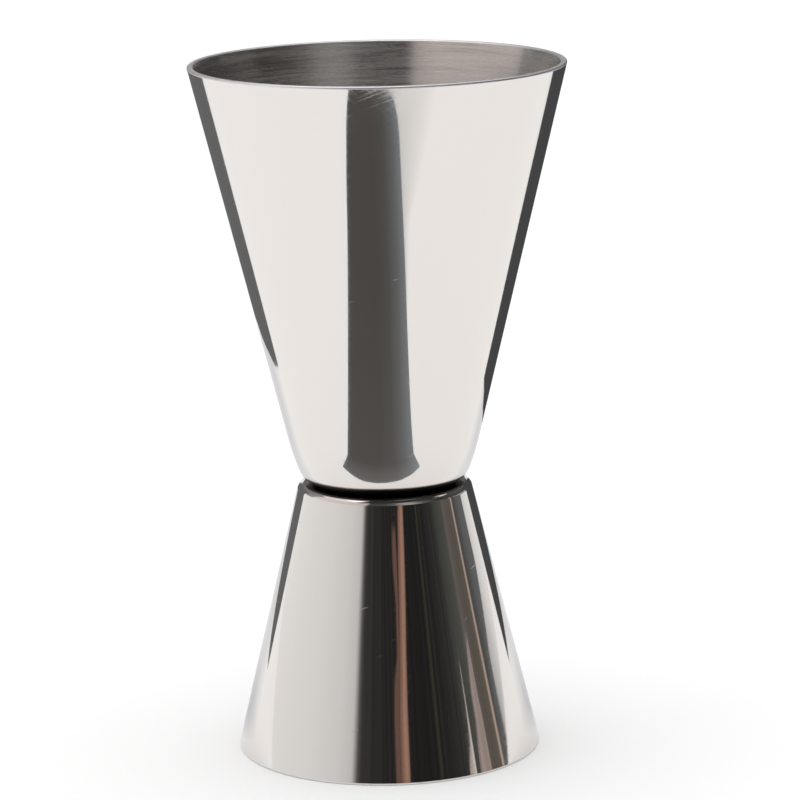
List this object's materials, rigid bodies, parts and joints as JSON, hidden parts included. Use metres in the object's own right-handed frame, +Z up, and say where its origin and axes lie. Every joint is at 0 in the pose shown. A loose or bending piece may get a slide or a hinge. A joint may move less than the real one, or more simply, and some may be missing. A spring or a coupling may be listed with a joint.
{
  "type": "bar jigger",
  "caption": "Steel spirit measure for a bar: a large cup and a small cup joined floor to floor, used either way up to measure and pour.",
  "frame": {"origin": "centre of the small cup's rim, on the plane that the jigger stands on", "axes": "+Z up along the cups' common axis, towards the large cup's rim; +X and +Y are level, and every weld lies midway between two of the level axes"},
  "size_m": [0.0484, 0.0484, 0.09],
  "materials": {
    "polished_steel": "stainless steel, mirror polished outside with fine polishing scratches, brushed around the axis inside",
    "fused_steel": "stainless steel fused by the weld, dull"
  },
  "bodies": {
    "root": {"large_cup": "polished_steel", "small_cup": "polished_steel", "weld_nugget_1": "fused_steel", "weld_nugget_2": "fused_steel", "weld_nugget_3": "fused_steel", "weld_nugget_4": "fused_steel"}
  },
  "joints": []
}
